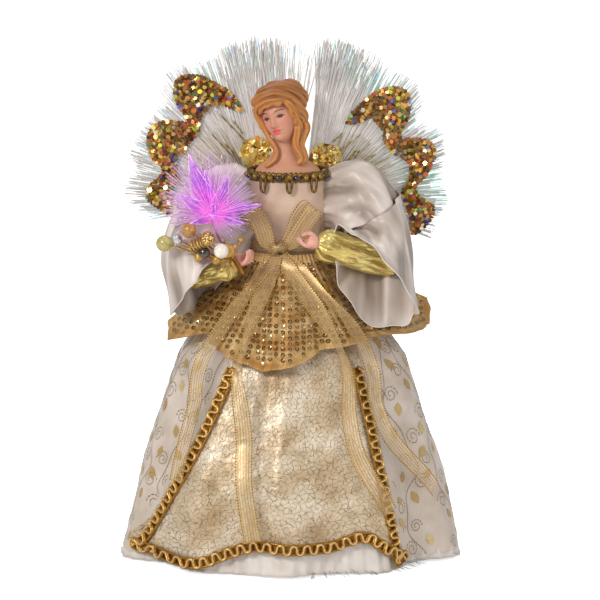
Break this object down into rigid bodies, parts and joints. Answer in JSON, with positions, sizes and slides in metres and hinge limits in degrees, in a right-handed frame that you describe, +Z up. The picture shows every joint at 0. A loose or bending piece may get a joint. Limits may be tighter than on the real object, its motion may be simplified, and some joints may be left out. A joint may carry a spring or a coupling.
{
  "type": "angel tree topper",
  "caption": "Angel figure tree topper: doll with fibre-optic wings, bell sleeves and layered gold and white skirts over a hollow cone that slips on a tree tip, lit from a battery box inside.",
  "frame": {"origin": "on the resting plane, in the middle of the cone's open base, on the axis of the branch tube", "axes": "+Z up along the figure, -Y towards the front of the doll, +X towards the viewer's right"},
  "size_m": [0.1924, 0.1975, 0.3063],
  "materials": {
    "white_plastic": "moulded, hidden under the skirts",
    "black_plastic": "moulded",
    "grey_plastic": "moulded",
    "circuit_board": "solder mask",
    "lamp_lens": "clear lens",
    "cell_jacket": "printed wrap",
    "contact_steel": "plated",
    "fibre": "clear drawn fibre",
    "white_cloth": "plain weave",
    "ivory_satin": "satin",
    "printed_satin": "satin with printed gold scrolls",
    "crackle_lame": "crackled metallic lame",
    "gold_lame": "crushed metallic lame",
    "gold_braid": "metallic gimp braid",
    "gold_ribbon": "sheer striped organza",
    "sequin_mesh": "mesh with rows of ring sequins",
    "skin": "painted vinyl",
    "hair": "moulded waves, painted",
    "crystal": "clear tinted, lit from inside",
    "gold_metal": "plated wire",
    "yellow_bead": "glossy",
    "silver_glitter": "glitter coat",
    "amber_bead": "glossy",
    "gold_glitter": "glitter dots",
    "dark_metal": "polished",
    "pearl": "pearl lustre"
  },
  "bodies": {
    "figure": {"base_ring": "white_plastic", "body_cone": "white_plastic", "chassis_plate": "white_plastic", "branch_tube": "white_plastic", "light_housing": "black_plastic", "lamp_board": "circuit_board", "lamp": "lamp_lens", "fibre_trunk": "fibre", "battery_box": "black_plastic", "battery_1": "cell_jacket", "battery_2": "cell_jacket", "battery_3": "cell_jacket", "contact_plate_left": "contact_steel", "contact_plate_right": "contact_steel", "underskirt": "white_cloth", "overskirt": "printed_satin", "front_panel": "crackle_lame", "front_braid": "gold_braid", "peplum": "sequin_mesh", "ribbon_tail_1": "gold_ribbon", "ribbon_tail_2": "gold_ribbon", "ribbon_tail_3": "gold_ribbon", "ribbon_tail_4": "gold_ribbon", "torso_core": "white_plastic", "bodice": "ivory_satin", "waist_sash": "gold_ribbon", "bow_loop_left": "gold_ribbon", "bow_loop_right": "gold_ribbon", "doll_head": "skin", "doll_hair": "hair", "neck_trim": "gold_braid", "left_arm": "white_cloth", "left_hand": "skin", "left_cuff": "gold_lame", "left_sleeve": "ivory_satin", "right_arm": "white_cloth", "right_hand": "skin", "right_cuff": "gold_lame", "right_sleeve": "ivory_satin", "star_flower": "crystal", "star_stem": "gold_metal", "bead_yellow": "yellow_bead", "bead_silver": "silver_glitter", "bead_amber": "amber_bead", "bead_berry": "gold_glitter", "bead_dark": "dark_metal", "bead_pearl": "pearl", "bead_wires": "gold_metal", "star_fibres": "fibre", "wing_bracket": "grey_plastic"},
    "left_wing": {"left_wing_frame": "grey_plastic", "left_wing_fibres": "fibre", "left_wing_glitter": "gold_glitter", "left_rosette": "gold_glitter"},
    "right_wing": {"right_wing_frame": "grey_plastic", "right_wing_fibres": "fibre", "right_wing_glitter": "gold_glitter", "right_rosette": "gold_glitter"},
    "battery_door": {"battery_door": "black_plastic"},
    "power_switch": {"switch_slider": "grey_plastic"}
  },
  "joints": [
    {"name": "left_wing_fold", "type": "hinge", "parent": "figure", "child": "left_wing", "pos_m": [-0.011, 0.022, 0.21], "axis": [0, 0, -1], "range_deg": [0, 50]},
    {"name": "right_wing_fold", "type": "hinge", "parent": "figure", "child": "right_wing", "pos_m": [0.011, 0.022, 0.21], "axis": [0, 0, 1], "range_deg": [0, 50]},
    {"name": "battery_door_open", "type": "hinge", "parent": "figure", "child": "battery_door", "pos_m": [0, 0.0555, 0.0563], "axis": [1, 0, 0], "range_deg": [0, 95]},
    {"name": "power_switch_slide", "type": "slide", "parent": "figure", "child": "power_switch", "axis": [1, 0, 0], "range_m": [0, 0.004]}
  ]
}
